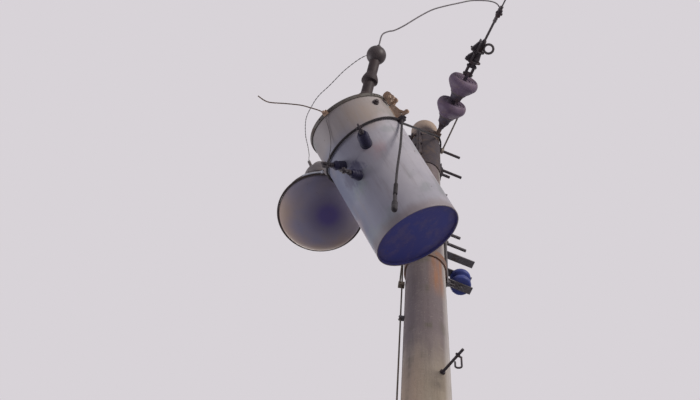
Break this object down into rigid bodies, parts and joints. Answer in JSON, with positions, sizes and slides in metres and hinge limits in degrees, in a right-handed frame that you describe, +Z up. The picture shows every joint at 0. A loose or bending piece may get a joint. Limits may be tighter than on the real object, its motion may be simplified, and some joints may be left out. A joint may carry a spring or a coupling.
{
  "type": "pole mounted transformer",
  "caption": "overhead transformer tank with bushings, hanging askew by a hinge bolt and a wire rope sling on a round tapered pole, with line end insulators, a street lamp and a secondary rack",
  "frame": {"origin": "centre of the pole's flat foot, at ground level", "axes": "+Z up along the pole, -Y to the street side that the low voltage terminals face, +X to the right seen from the street"},
  "size_m": [1.3017, 1.162, 9.15],
  "materials": {
    "lamp_glass": "dusty, smoke stained",
    "concrete": "matte, weathered",
    "dark_steel": "matte, rusty",
    "rusty_steel": "matte, rusty",
    "galvanised_steel": "dull grey",
    "tank_paint": "chalky off-white, smudged",
    "base_paint": "semi-gloss dark blue",
    "porcelain": "glossy brown glaze",
    "blue_porcelain": "glossy blue glaze",
    "dark_bushing": "dark glaze",
    "lamp_enamel": "dull grey-brown enamel",
    "aluminium_rim": "bright",
    "conductor": "dull, weathered",
    "wire_rope": "dark, greasy"
  },
  "bodies": {
    "root": {"pole": "concrete", "top_sleeve": "dark_steel", "through_bolts": "rusty_steel", "line_band": "dark_steel", "disc_insulators": "porcelain", "bell_fittings": "dark_steel", "link_straps": "dark_steel", "strain_clamp": "dark_steel", "clamp_bolts": "dark_steel", "line_tail": "conductor", "line_sleeve": "conductor", "jumper": "conductor", "prop_rod": "rusty_steel", "tank_wall_shell": "tank_paint", "tank_floor": "base_paint", "tank_lid": "tank_paint", "lid_clamp_band": "dark_steel", "band_fittings": "rusty_steel", "hv_turret": "dark_steel", "hv_bushing": "dark_bushing", "hv_cap": "dark_bushing", "lv_bushings": "dark_bushing", "lifting_lugs": "rusty_steel", "relief_plug": "dark_steel", "hanger_plates": "tank_paint", "hinge_bolt": "rusty_steel", "pole_bracket": "rusty_steel", "sling": "wire_rope", "rope_clip": "dark_steel", "rope_tail": "wire_rope", "tail_ferrule": "dark_steel", "lamp_reflector": "lamp_enamel", "lamp_ring": "aluminium_rim", "lamp_housing": "lamp_enamel", "lamp_bowl": "lamp_glass", "lamp_arm": "galvanised_steel", "arm_plate": "galvanised_steel", "lamp_lead": "conductor", "stub_wire": "conductor", "rack": "galvanised_steel", "rack_spool": "blue_porcelain", "service_hook": "rusty_steel", "earth_wire": "conductor", "tank_bond": "conductor", "earth_clips": "galvanised_steel"}
  },
  "joints": []
}
